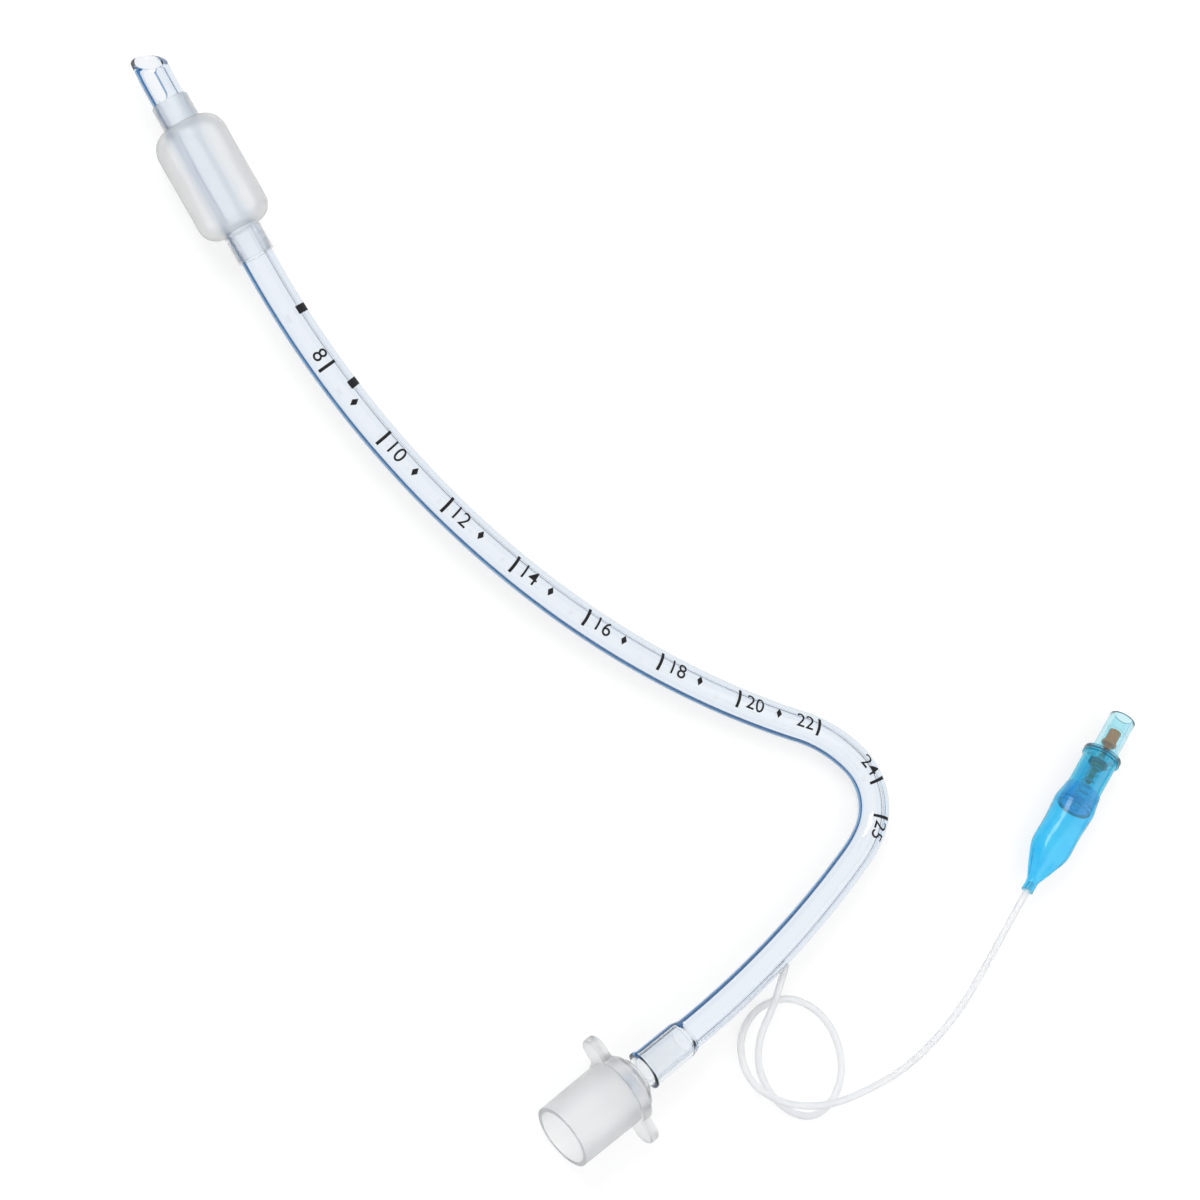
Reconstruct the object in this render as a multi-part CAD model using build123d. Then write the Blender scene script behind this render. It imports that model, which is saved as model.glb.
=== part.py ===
from build123d import *
import os
from math import cos, sin, radians

os.makedirs("parts", exist_ok=True)

# Cuffed, preformed airway tube with its connector, inflation line, pilot balloon and valve.
# It lies on a table. Millimetres, +Z up, origin under the middle of the tube's box.
# The tube is drawn from its tip to its connector; left and right are seen along that way.

# Driving dimensions

# Tube wall
bore_d = 5.5
tube_wall = 0.95
bevel_angle = 27.0
tip_round = 0.4
bond_gap = 0.02

# Inflation lumen and the ridge that the wall makes inwards round it
lumen_d = 0.7
lumen_depth = 0.95
ridge_cover = 0.45
lumen_start = 16.0
cuff_port_d = 1.0

# X-ray line, a strip of filled plastic set in the outer face of the wall
stripe_width = 1.2
stripe_depth = 0.6

# Route of the tube's axis in its own plane, from the tip
tip_x = -89.68
tip_y = 117.49
tip_heading = -65.5
tip_length = 9.0
tip_turn = 7.7
cuff_straight = 43.0
long_arc_radius = 210.0
long_arc_turn = 45.25
bend_in_radius = 33.7
bend_in_turn = 27.1
bend_radius = 13.8
bend_turn = 77.8
bend_out_radius = 29.0
bend_out_turn = 12.9
leg_radius = 238.0
leg_turn = 14.6
lie_lift = 0.06

# Eye opposite the bevel
eye_start = 3.9
eye_length = 7.5
eye_width = 3.4

# Cuff
cuff_start = 12.1
cuff_collar_front = 5.7
cuff_balloon = 25.6
cuff_collar_back = 6.6
cuff_d = 16.6
cuff_film = 0.3
cuff_collar_wall = 0.45
cuff_collar_chamfer = 0.3
cuff_front_shoulder = 4.7
cuff_back_shoulder = 4.0

# Connector
cone_length = 16.0
cone_mouth_d = 15.1
cone_taper = 1 / 40
cone_bore_d = 13.0
cone_lip_round = 0.4
flange_thickness = 2.5
flange_rim = 0.7
ear_span = 27.0
ear_width = 6.4
ear_round = 0.6
collar_one_d = 13.4
collar_one_length = 1.9
collar_two_d = 10.4
collar_two_length = 1.1
stem_d = 7.2
stem_wall = 0.7
collar_round = 0.3
stem_showing = 2.5
stem_in_tube = 11.5
stem_gap = 0.2

# Tube end, stretched over the stem
stretched_wall = 0.7
flare_length = 2.2
rim_bead = 0.3
rim_length = 0.7

# Inflation line
line_d = 1.6
pocket_station = 290.2
pocket_sink = 0.2
line_in_neck = 2.2

# Pilot balloon, stations along its axis from the line's side
pilot_x = 129.52
pilot_y = -56.01
pilot_heading = 55.8
neck_d = 2.9
neck_length = 2.8
pilot_film = 0.25
pilot_width = 11.0
pilot_height = 9.5
pilot_length = 26.6
pilot_overlap = 5.2

# Ovals of the balloon: station, width and height as shares of its length, width and height
pilot_ovals = [(0.2, 0.76, 0.62), (0.34, 0.98, 0.8), (0.6, 0.95, 0.92), (0.84, 1.0, 1.0)]
pilot_shoulder = (0.95, 0.93)

# Valve
housing_d = 8.6
housing_wall = 0.75
housing_length = 15.5
housing_floor = 1.5
air_hole_d = 1.4
rim_d = 9.7
rim_thickness = 0.8
port_flange = 0.8
port_plug = 1.6
port_floor = 0.5
port_d = 6.6
port_mouth_d = 4.3
port_length = 10.9
port_taper = 0.06
socket_depth = 4.1
port_chamber_d = 4.5
port_hole_d = 2.2
plunger_stem_d = 1.6
plunger_ring_d = 3.8
plunger_ring = 0.7
plunger_head_d = 3.0
plunger_below_mouth = 4.2
plunger_foot_d = 3.4
plunger_foot = 0.6
plunger_pin_d = 1.5
plunger_pin = 4.6
plunger_travel = 1.8
plunger_stop_gap = 0.3
seal_d = 4.8
seal_thickness = 1.1
spring_wire = 0.4
spring_d = 2.7
spring_turns = 7

# Sizes that follow
bore_r = bore_d / 2
tube_r = bore_r + tube_wall
lumen_at = tube_r - lumen_depth
ridge_r = lumen_d / 2 + ridge_cover
cuff_r = cuff_d / 2
flange_r = (cone_mouth_d + cone_length * cone_taper) / 2 + flange_rim
collar_r = tube_r + bond_gap + cuff_collar_wall
stretched_r = stem_d / 2 + bond_gap + stretched_wall
line_r = line_d / 2


def heading(angle):
    """Unit vector in the tube's plane."""
    return Vector(cos(radians(angle)), sin(radians(angle)))


def bend(start, radius, turn):
    """Arc that leaves the end of start in the direction that start has there."""
    return JernArc(start=start @ 1, tangent=start % 1, radius=radius, arc_size=turn)


# Route of the axis
tip_arc = JernArc(
    start=(tip_x, tip_y),
    tangent=heading(tip_heading),
    radius=tip_length / radians(tip_turn),
    arc_size=tip_turn,
)
cuff_line = Line(tip_arc @ 1, tip_arc @ 1 + cuff_straight * (tip_arc % 1))
long_arc = bend(cuff_line, long_arc_radius, long_arc_turn)
bend_in = bend(long_arc, bend_in_radius, -bend_in_turn)
tight_bend = bend(bend_in, bend_radius, -bend_turn)
bend_out = bend(tight_bend, bend_out_radius, -bend_out_turn)
leg = bend(bend_out, leg_radius, -leg_turn)
route = [tip_arc, cuff_line, long_arc, bend_in, tight_bend, bend_out, leg]
axis_wire = Wire(route)
swept_length = axis_wire.length


def on_axis(station):
    """Frame across the tube: x to the left, y up from its plane, z along the tube."""
    along = station / swept_length
    forward = axis_wire % along
    left = Vector(-forward.Y, forward.X)
    return Plane(origin=axis_wire @ along, x_dir=left, z_dir=forward)


# Frame of the straight end, with its origin in the connector's mouth and z out of it
end_frame = on_axis(swept_length)
rim_from_mouth = (
    cone_length + flange_thickness + collar_one_length + collar_two_length + stem_showing
)
stem_end = rim_from_mouth + stem_in_tube
flare_start = stem_end + flare_length + stem_gap
mouth_point = end_frame.origin + flare_start * end_frame.z_dir
connector_frame = Plane(origin=mouth_point, x_dir=end_frame.x_dir, z_dir=end_frame.z_dir)


def contact(point, radius):
    """Place of an axis point when the round piece about it touches the table."""
    return Vector(point.X, point.Y, radius)


# The tube's plane rests on the cuff, on the connector's flange and on the sharp bend
cuff_middle = on_axis(cuff_start + cuff_collar_front + cuff_balloon / 2).origin
flange_middle = mouth_point - (cone_length + flange_thickness / 2) * connector_frame.z_dir
on_cuff = contact(cuff_middle, cuff_r)
on_flange = contact(flange_middle, flange_r)
on_bend = contact(tight_bend @ 0.2, tube_r)
lie_normal = (on_flange - on_cuff).cross(on_bend - on_cuff).normalized()
lie_height = on_cuff.dot(lie_normal) / lie_normal.Z
lie_x = Vector(lie_normal.Z, 0, -lie_normal.X).normalized()
lie = Plane(origin=(0, 0, lie_height + lie_lift), x_dir=lie_x, z_dir=lie_normal).location


def along_tube(section, start, end):
    """Sweep a section of the tube along its axis between two stations."""
    whole = axis_wire.trim(start / swept_length, end / swept_length)
    return sweep(on_axis(start) * section, path=whole)


def band(x, width, reach):
    """Strip across the wall, on the side that x names."""
    return Pos(x, 0) * Rectangle(reach, width)


def stripe_section(gap, proud):
    """Section of the X-ray line: a ring of the wall, cut to the strip's width."""
    ring = Circle(tube_r + proud) - Circle(tube_r - stripe_depth - gap)
    return ring & band(-tube_r, stripe_width + 2 * gap, 2 * stripe_depth)


def ring_profile(points):
    """Closed outline turned round the z axis; points are radius and height."""
    outline = Polyline(*[(r, 0, z) for r, z in points], close=True)
    return revolve(make_face(outline), axis=Axis.Z)


# Outer face of the stretched end up to its rolled rim, as radius and height below the mouth
bead_r = stretched_r + rim_bead
end_face = [
    (tube_r, -flare_start),
    (stretched_r, flare_length - flare_start),
    (stretched_r, -rim_from_mouth - rim_length),
    (bead_r, -rim_from_mouth - rim_length + rim_bead),
]


def stretched_end(inner_offset, outer_offset):
    """Ring between the tube's outer face and a face at an offset, along the stretched end."""
    steps = end_face + [(bead_r, -rim_from_mouth)]
    outer = [(r + outer_offset, z) for r, z in steps]
    inner = [(r - inner_offset, z) for r, z in reversed(steps)]
    return ring_profile(outer + inner)


def make_tube_end():
    """Wall of the tube where it widens, runs over the stem and ends in a rolled rim."""
    stem_seat = stem_d / 2 + bond_gap
    outline = [
        (bore_r, -flare_start),
        *end_face,
        (bead_r, -rim_from_mouth - rim_bead),
        (stretched_r, -rim_from_mouth),
        (stem_seat, -rim_from_mouth),
        (stem_seat, -stem_end - stem_gap),
        (bore_r, flare_length / 4 - flare_start),
    ]
    return connector_frame.location * ring_profile(outline)


def stripe_end(gap, proud):
    """The X-ray line on the stretched end: the outer layer of the wall, cut to its width."""
    depth = stripe_depth * stretched_wall / tube_wall
    layer = stretched_end(depth + gap, proud)
    slab = Pos(-stretched_r, 0, -flare_start / 2) * Box(
        2 * stretched_r, stripe_width + 2 * gap, flare_start
    )
    return connector_frame.location * (layer & slab)


def make_bevel_cut():
    """Block that cuts the tip on a slant, so that the opening faces up."""
    side = 4 * tube_r
    tip = on_axis(0)
    edge = Pos(0, -tube_r, 0) * Rot(bevel_angle, 0, 0) * Pos(0, 0, -side / 2)
    return tip.location * edge * Box(side, 2 * side, side)


def make_eye_cut():
    """Oval that goes through the lower wall only, opposite the bevel."""
    middle = on_axis(eye_start + eye_length / 2)
    frame = Plane(origin=middle.origin, x_dir=middle.z_dir, z_dir=(0, 0, -1))
    return extrude(frame * SlotOverall(eye_length, eye_width), amount=2 * tube_r)


def pocket_point():
    """Start of the inflation line, in the wall on the left side, where the tube lies."""
    frame = on_axis(pocket_station)
    local = frame.origin + (tube_r - pocket_sink) * frame.x_dir
    return (lie * Pos(*local)).position


# Route of the inflation line where it lies; the first point is in the wall, the last in the neck
pilot_axis = heading(pilot_heading)
pilot_start = Vector(pilot_x, pilot_y, rim_d / 2)
line_route = [
    pocket_point(),
    Vector(61.72, -83.11, 5.2),
    Vector(58.82, -90.71, 2.2),
    Vector(59.62, -98.81, 0.8),
    Vector(65.32, -106.31, 0.8),
    Vector(73.32, -108.91, 0.8),
    Vector(79.72, -103.71, 0.8),
    Vector(81.52, -95.11, 0.8),
    Vector(77.32, -85.71, 0.8),
    Vector(68.52, -81.11, 0.8),
    Vector(59.52, -83.31, 0.8),
    Vector(54.32, -90.91, 0.8),
    Vector(56.12, -100.51, 2.4),
    Vector(64.12, -105.51, 4.5),
    Vector(74.92, -105.91, 4.5),
    Vector(86.32, -102.51, 3.0),
    Vector(99.52, -96.51, 0.8),
    Vector(111.52, -85.71, 0.8),
    Vector(119.32, -73.51, 2.3),
    Vector(124.72, -63.11, 4.7),
    pilot_start + line_in_neck * pilot_axis,
]


def line_radii(points):
    """Largest arc at each corner: 0.45 of the shorter run over the tangent of half the turn."""
    radii = []
    for before, corner, after in zip(points, points[1:], points[2:]):
        first = corner - before
        second = after - corner
        half_turn = radians(first.get_angle(second) / 2)
        shorter = min(first.length, second.length)
        radii.append(0.45 * shorter * cos(half_turn) / sin(half_turn))
    return radii


def make_inflation_line():
    """Round line swept along straight runs joined by tangent arcs."""
    radii = line_radii(line_route)
    path = FilletPolyline(*line_route, radius=radii)
    start = Plane(origin=path @ 0, z_dir=path % 0)
    line = sweep(start * Circle(line_r), path=path)
    print("inflation line radii", [round(r, 1) for r in radii])
    print("inflation line length", round(path.length, 1))
    print("inflation line volume over section times length",
          round(line.volume / (path.length * Circle(line_r).area), 4))
    return line


def make_pocket_cut():
    """Hole in the wall that the end of the inflation line sits in."""
    way = line_route[1] - line_route[0]
    start = Plane(origin=line_route[0] - bond_gap * way.normalized(), z_dir=way)
    return extrude(start * Circle(line_r + bond_gap), amount=way.length / 2)


def make_airway_tube():
    """Extruded wall with its ridge and lumen, formed tip, eye, pocket and stretched end."""
    bump = Pos(lumen_at, 0) * Circle(ridge_r)
    rod = along_tube(Circle(tube_r), 0, swept_length) - make_bevel_cut()
    outer = fillet(rod.edges().sort_by_distance(on_axis(0).origin)[0], tip_round)
    bore = along_tube(Circle(bore_r) - bump, 0, swept_length)
    groove = along_tube(stripe_section(bond_gap, tube_wall), 0, swept_length)
    lumen = along_tube(Pos(lumen_at, 0) * Circle(lumen_d / 2), lumen_start, swept_length)
    wall = outer - bore - groove - make_eye_cut()
    port_frame = on_axis(cuff_start + cuff_collar_front + cuff_balloon / 2)
    port = port_frame.location * Pos(tube_r, 0, 0) * Rot(0, 90, 0)
    cuff_port = port * Cylinder(cuff_port_d / 2, 2 * lumen_depth)
    end = make_tube_end() - stripe_end(bond_gap, tube_wall)
    tube = wall - lumen - cuff_port + end
    return lie * tube - make_pocket_cut()


def make_xray_stripe():
    """Blue strip set in the groove, from the tip to the rolled rim."""
    strip = along_tube(stripe_section(0, 0), 0, swept_length) + stripe_end(0, 0)
    return lie * (strip - make_bevel_cut())


def make_cuff():
    """Blown film balloon with a short collar at each end."""
    seat_r = tube_r + bond_gap
    front = cuff_start + cuff_collar_front
    back = front + cuff_balloon
    end = back + cuff_collar_back
    rise = cuff_r - collar_r
    inner_rise = cuff_r - cuff_film - seat_r
    front_in = cuff_front_shoulder - cuff_film
    back_in = cuff_back_shoulder - cuff_film
    front_middle = front + cuff_front_shoulder
    back_middle = back - cuff_back_shoulder
    outer = [
        Polyline(
            (cuff_start, seat_r),
            (cuff_start, collar_r - cuff_collar_chamfer),
            (cuff_start + cuff_collar_chamfer, collar_r),
            (front, collar_r),
        ),
        EllipticalCenterArc((front_middle, collar_r), cuff_front_shoulder, rise, 90, arc_size=90),
        Line((front_middle, cuff_r), (back_middle, cuff_r)),
        EllipticalCenterArc((back_middle, collar_r), cuff_back_shoulder, rise, 0, arc_size=90),
        Polyline(
            (back, collar_r),
            (end - cuff_collar_chamfer, collar_r),
            (end, collar_r - cuff_collar_chamfer),
            (end, seat_r),
            (back - cuff_film, seat_r),
        ),
    ]
    inner = [
        EllipticalCenterArc((back_middle, seat_r), back_in, inner_rise, 0, arc_size=90),
        Line((front_middle, cuff_r - cuff_film), (back_middle, cuff_r - cuff_film)),
        EllipticalCenterArc((front_middle, seat_r), front_in, inner_rise, 90, arc_size=90),
        Line((front + cuff_film, seat_r), (cuff_start, seat_r)),
    ]
    balloon = revolve(make_face(Curve() + outer + inner), axis=Axis.X)
    start = on_axis(tip_length)
    turn = Plane(origin=start.origin - tip_length * start.z_dir, x_dir=start.z_dir)
    return lie * turn.location * balloon


def ring_edge(body, radius, height):
    """Round edge of a turned piece, found by its radius and height."""
    circles = body.edges().filter_by(GeomType.CIRCLE)
    return circles.sort_by(lambda e: abs(e.radius - radius) + abs(e.arc_center.Z - height))[0]


def make_connector():
    """Moulded cone with a flange, two ears, two stepped collars and the stem."""
    base_r = (cone_mouth_d + cone_length * cone_taper) / 2
    flange_back = cone_length + flange_thickness
    one_back = flange_back + collar_one_length
    two_back = one_back + collar_two_length
    stem_r = stem_d / 2
    stem_bore = stem_r - stem_wall
    cone_bore = cone_bore_d / 2
    outline = [
        (cone_bore, 0),
        (cone_mouth_d / 2, 0),
        (base_r, -cone_length),
        (flange_r, -cone_length),
        (flange_r, -flange_back),
        (collar_one_d / 2, -flange_back),
        (collar_one_d / 2, -one_back),
        (collar_two_d / 2, -one_back),
        (collar_two_d / 2, -two_back),
        (stem_r, -two_back),
        (stem_r, -stem_end),
        (stem_bore, -stem_end),
        (stem_bore, -two_back),
        (cone_bore, -cone_length),
    ]
    body = ring_profile(outline)
    lip = ring_edge(body, cone_mouth_d / 2, 0), ring_edge(body, cone_bore, 0)
    collars = ring_edge(body, collar_one_d / 2, -one_back), ring_edge(body, collar_two_d / 2, -two_back)
    body = fillet(lip, cone_lip_round)
    body = fillet(collars, collar_round)
    ears = SlotOverall(ear_span, ear_width) - Circle((base_r + cone_bore) / 2)
    ears = Pos(0, 0, -flange_back) * extrude(ears, amount=flange_thickness)
    tips = ears.edges().filter_by(GeomType.CIRCLE)
    tips = tips.filter_by(lambda e: abs(e.center().X) > flange_r)
    ears = fillet(tips, ear_round)
    return lie * connector_frame.location * (body + ears)


# Stations of the valve along the pilot balloon's axis
pilot_end = neck_length + pilot_length
housing_start = pilot_end - pilot_overlap
rim_top = housing_start + housing_length
chamber_top = rim_top - port_plug
port_base = rim_top + port_flange
port_top = port_base + port_length
housing_r = housing_d / 2
housing_bore = housing_r - housing_wall
pilot_frame = Plane(
    origin=pilot_start, x_dir=(-sin(radians(pilot_heading)), cos(radians(pilot_heading)), 0),
    z_dir=pilot_axis,
).location
plunger_top = port_top - plunger_below_mouth
ring_base = port_base + port_floor + plunger_travel + plunger_stop_gap
foot_top = chamber_top - bond_gap - seal_thickness - bond_gap
foot_base = foot_top - plunger_foot


def pilot_skin(inset):
    """Loft through ovals; they are wide and a little flat, and round at both ends."""
    neck = neck_d / 2 - inset
    mouth = housing_r + bond_gap + pilot_film - inset
    wide = pilot_width / 2 - inset
    high = pilot_height / 2 - inset
    body = [(neck_length + s * pilot_length, w * wide, h * high) for s, w, h in pilot_ovals]
    shoulder = neck_length + pilot_shoulder[0] * pilot_length
    ovals = [
        (neck_length, neck, neck),
        *body,
        (shoulder, pilot_shoulder[1] * wide, mouth),
        (pilot_end, mouth, mouth),
    ]
    return loft([Pos(0, 0, z) * Ellipse(a, b) for z, a, b in ovals])


def make_pilot_balloon():
    """Film balloon with a neck for the line; its wide end is sealed on the housing."""
    line_seat = line_r + bond_gap
    neck = Pos(0, 0, neck_length / 2) * Cylinder(neck_d / 2, neck_length)
    neck -= Pos(0, 0, neck_length / 2) * Cylinder(line_seat, 2 * neck_length)
    return pilot_frame * (pilot_skin(0) - pilot_skin(pilot_film) + neck)


def make_valve_housing():
    """Cup with a floor, an air hole in the floor, and a rim that carries the port."""
    outline = [
        (air_hole_d / 2, housing_start),
        (housing_r, housing_start),
        (housing_r, rim_top - rim_thickness),
        (rim_d / 2, rim_top - rim_thickness),
        (rim_d / 2, rim_top),
        (housing_bore, rim_top),
        (housing_bore, housing_start + housing_floor),
        (air_hole_d / 2, housing_start + housing_floor),
    ]
    return pilot_frame * ring_profile(outline)


def make_valve_port():
    """Clear top with a plug in the housing, a flange on its rim and a tapered socket."""
    plug_r = housing_bore - bond_gap
    socket_end = port_mouth_d / 2 - port_taper * socket_depth / 2
    outline = [
        (port_hole_d / 2, chamber_top),
        (plug_r, chamber_top),
        (plug_r, rim_top),
        (rim_d / 2, rim_top),
        (rim_d / 2, port_base),
        (port_d / 2, port_base),
        (port_d / 2, port_top),
        (port_mouth_d / 2, port_top),
        (socket_end, port_top - socket_depth),
        (port_chamber_d / 2, port_top - socket_depth),
        (port_chamber_d / 2, port_base + port_floor),
        (port_hole_d / 2, port_base + port_floor),
    ]
    return pilot_frame * ring_profile(outline)


def make_valve_plunger():
    """Pin with a head for the syringe tip, a ring, a stem, a foot and a guide for the spring."""
    outline = [
        (0, foot_base - plunger_pin),
        (plunger_pin_d / 2, foot_base - plunger_pin),
        (plunger_pin_d / 2, foot_base),
        (plunger_foot_d / 2, foot_base),
        (plunger_foot_d / 2, foot_top),
        (plunger_stem_d / 2, foot_top),
        (plunger_stem_d / 2, ring_base),
        (plunger_ring_d / 2, ring_base),
        (plunger_ring_d / 2, ring_base + plunger_ring),
        (plunger_head_d / 2, ring_base + plunger_ring),
        (plunger_head_d / 2, plunger_top),
        (0, plunger_top),
    ]
    return pilot_frame * ring_profile(outline)


def make_valve_seal():
    """Rubber washer on the stem that shuts the hole in the port from below."""
    middle = Pos(0, 0, chamber_top - bond_gap - seal_thickness / 2)
    washer = Cylinder(seal_d / 2, seal_thickness)
    hole = Cylinder(plunger_stem_d / 2 + bond_gap, 2 * seal_thickness)
    return pilot_frame * middle * (washer - hole)


def make_valve_spring():
    """Coil between the housing's floor and the plunger's foot."""
    low = housing_start + housing_floor + spring_wire / 2 + bond_gap
    high = foot_base - spring_wire / 2 - bond_gap
    radius = spring_d / 2
    coil = Helix(pitch=(high - low) / spring_turns, height=high - low, radius=radius)
    section = Plane(origin=coil @ 0, z_dir=coil % 0) * Circle(spring_wire / 2)
    return pilot_frame * Pos(0, 0, low) * sweep(section, path=coil, is_frenet=True)


nodes = {
    "airway_tube": make_airway_tube,
    "xray_stripe": make_xray_stripe,
    "cuff": make_cuff,
    "connector": make_connector,
    "inflation_line": make_inflation_line,
    "pilot_balloon": make_pilot_balloon,
    "valve_housing": make_valve_housing,
    "valve_port": make_valve_port,
    "valve_plunger": make_valve_plunger,
    "valve_seal": make_valve_seal,
    "valve_spring": make_valve_spring,
}

for node, make in nodes.items():
    shape = make()
    export_step(shape, f"parts/{node}.step")
    box = shape.bounding_box()
    print(node, "volume", round(shape.volume, 1), "box", box.min, box.max)
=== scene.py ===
# %% [markdown]
# # A cuffed, preformed breathing tube
#
# The object is a clear, soft tube that lies on a table. It has a slanted tip with an eye, a frosted
# balloon called the cuff, a sharp bend, a milky connector, and a thin line that runs to a blue pilot
# balloon with a valve. Most of it is see-through, so nearly all the work is in wall thickness and in
# how each plastic lets light pass.
#
# Sizes are in millimetres unless a comment says otherwise, and they become metres in a few helpers.

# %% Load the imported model
from math import cos, pi, radians, sin, tan

import bmesh
import bpy
import numpy as np
from mathutils import Matrix, Vector


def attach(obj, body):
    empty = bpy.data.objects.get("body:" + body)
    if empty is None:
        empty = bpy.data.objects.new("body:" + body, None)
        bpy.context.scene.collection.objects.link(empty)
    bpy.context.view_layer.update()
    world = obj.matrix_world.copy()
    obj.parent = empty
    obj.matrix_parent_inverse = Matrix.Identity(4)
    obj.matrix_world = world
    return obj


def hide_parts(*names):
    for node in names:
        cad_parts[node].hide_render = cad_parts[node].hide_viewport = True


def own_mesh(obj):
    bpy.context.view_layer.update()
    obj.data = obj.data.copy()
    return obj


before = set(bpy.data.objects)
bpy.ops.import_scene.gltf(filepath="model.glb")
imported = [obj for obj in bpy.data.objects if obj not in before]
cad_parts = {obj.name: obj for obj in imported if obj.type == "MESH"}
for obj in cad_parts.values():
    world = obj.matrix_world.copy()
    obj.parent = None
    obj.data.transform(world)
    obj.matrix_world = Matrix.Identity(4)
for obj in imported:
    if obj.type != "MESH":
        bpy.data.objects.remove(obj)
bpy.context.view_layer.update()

MM = 0.001
scene = bpy.context.scene
print("nodes:", sorted(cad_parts))

# %% [markdown]
# ## Camera
# The picture was taken from well above, a little from the left. A pinhole camera with a narrow view is
# enough: its place, its target and its lens are stated as real sizes, and the picture's top is +Y. The
# focal length is counted in pixels of the picture, because the marks on the tube were read in pixels.

# %% Camera
PICTURE_SIDE = 1200  # pixels
FOCAL_PIXELS = 2647  # pixels
SENSOR = 36.0
camera_place = Vector((-218.4, -94.8, 539.8)) * MM
camera_target = Vector((20.92, 7.09, 0.0)) * MM

camera_data = bpy.data.cameras.new("photo_camera")
camera = bpy.data.objects.new("photo_camera", camera_data)
scene.collection.objects.link(camera)
camera_data.sensor_width = SENSOR
camera_data.lens = SENSOR * FOCAL_PIXELS / PICTURE_SIDE
camera_data.clip_start = 10 * MM
back = (camera_place - camera_target).normalized()
right = Vector((0, 1, 0)).cross(back).normalized()
turned = Matrix((right, back.cross(right), back)).transposed().to_4x4()
camera.matrix_world = Matrix.Translation(camera_place) @ turned
scene.camera = camera
print("camera distance, mm:", round((camera_place - camera_target).length / MM, 1))

# %% [markdown]
# ## Inflation line
# The thin line is a limp extruded tube of 1.6 mm. It leaves the wall of the big tube, makes one loose
# loop on the table and ends in the neck of the pilot balloon. A NURBS curve of order 3 bends as softly
# as the real line does, and its control points are the places where the line turns.

# %% Inflation line
LINE_D = 1.6
pilot_heading = radians(55.8)
pilot_axis = np.array([cos(pilot_heading), sin(pilot_heading), 0.0])
pilot_start = np.array([129.52, -56.01, 4.85])
LINE_IN_NECK = 2.2
LINE_SMOOTHNESS = 10  # curve steps from one control point to the next
LINE_SIDES = 5  # rows in a quarter of the line's round section
line_points = [
    (64.27, -74.15, 5.86),
    (61.72, -83.11, 5.2),
    (58.82, -90.71, 2.2),
    (59.62, -98.81, 0.8),
    (65.32, -106.31, 0.8),
    (73.32, -108.91, 0.8),
    (79.72, -103.71, 0.8),
    (81.52, -95.11, 0.8),
    (77.32, -85.71, 0.8),
    (68.52, -81.11, 0.8),
    (59.52, -83.31, 0.8),
    (54.32, -90.91, 0.8),
    (56.12, -100.51, 2.4),
    (64.12, -105.51, 4.5),
    (74.92, -105.91, 4.5),
    (86.32, -102.51, 3.0),
    (99.52, -96.51, 0.8),
    (111.52, -85.71, 0.8),
    (119.32, -73.51, 2.3),
    (124.72, -63.11, 4.7),
    tuple(pilot_start + LINE_IN_NECK * pilot_axis),
]


def soft_line(name, points, diameter):
    """Round line, in metres, along a curve that each control point pulls towards itself: it follows
    pieces of parabola, one for each three points in a row."""
    data = bpy.data.curves.new(name, "CURVE")
    data.dimensions = "3D"
    spline = data.splines.new("NURBS")
    spline.points.add(len(points) - 1)
    spline.points.foreach_set("co", np.c_[np.array(points) * MM, np.ones(len(points))].ravel())
    spline.points.foreach_set("radius", np.full(len(points), MM))
    spline.order_u = 3
    spline.use_endpoint_u = True
    data.resolution_u = LINE_SMOOTHNESS
    data.bevel_depth = diameter / 2
    data.bevel_resolution = LINE_SIDES
    data.use_fill_caps = True
    piece = bpy.data.objects.new(name, data)
    scene.collection.objects.link(piece)
    return piece


inflation_line = soft_line("soft_inflation_line", line_points, LINE_D)
print("inflation line points:", len(line_points))

# %% [markdown]
# ## Helpers for surfaces
# Each new piece is a grid of points worked out by a formula in two parameters. The helper closes the
# grid where it has to meet itself, merges the poles, and turns all faces outwards. The sign of the
# enclosed volume says which way they point, so no guess is needed.


# %% Surfaces
def grid_faces(rows, columns, closed_rows=True):
    """Four-sided faces between neighbouring rows; columns always close round."""
    r = np.arange(rows if closed_rows else rows - 1)[:, None]
    c = np.arange(columns)[None, :]
    below = (r + 1) % rows
    beside = (c + 1) % columns
    corners = (r * columns + c, r * columns + beside, below * columns + beside, below * columns + c)
    return np.stack(np.broadcast_arrays(*corners), -1).reshape(-1, 4)


def volume_of(points, faces):
    """Sum over the faces of the signed volume of the pyramid on each, with its top at the origin."""
    a, b, c, d = (points[faces[:, k]] for k in range(4))
    halves = np.einsum("ij,ij->i", a, np.cross(b, c)) + np.einsum("ij,ij->i", a, np.cross(c, d))
    return halves.sum() / 6


def shell(points, closed_rows=True, hollow=False):
    """Points of shape rows, columns, 3 as a closed shell with its UVs, which count the columns and the
    rows as shares; a hollow one faces inwards."""
    rows, columns = points.shape[:2]
    flat = points.reshape(-1, 3)
    faces = grid_faces(rows, columns, closed_rows)
    r, c = np.divmod(np.arange(len(faces)), columns)
    corners = np.stack([c, r, c + 1, r, c + 1, r + 1, c, r + 1], -1).reshape(-1, 4, 2)
    uv = corners / [columns, rows]
    if (volume_of(flat - flat.mean(0), faces) < 0) != hollow:
        faces, uv = faces[:, ::-1], uv[:, ::-1]
    return flat, faces, uv


# %% One piece from its shells
SAME_PLACE = 1e-8  # metres between points that are merged


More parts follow.
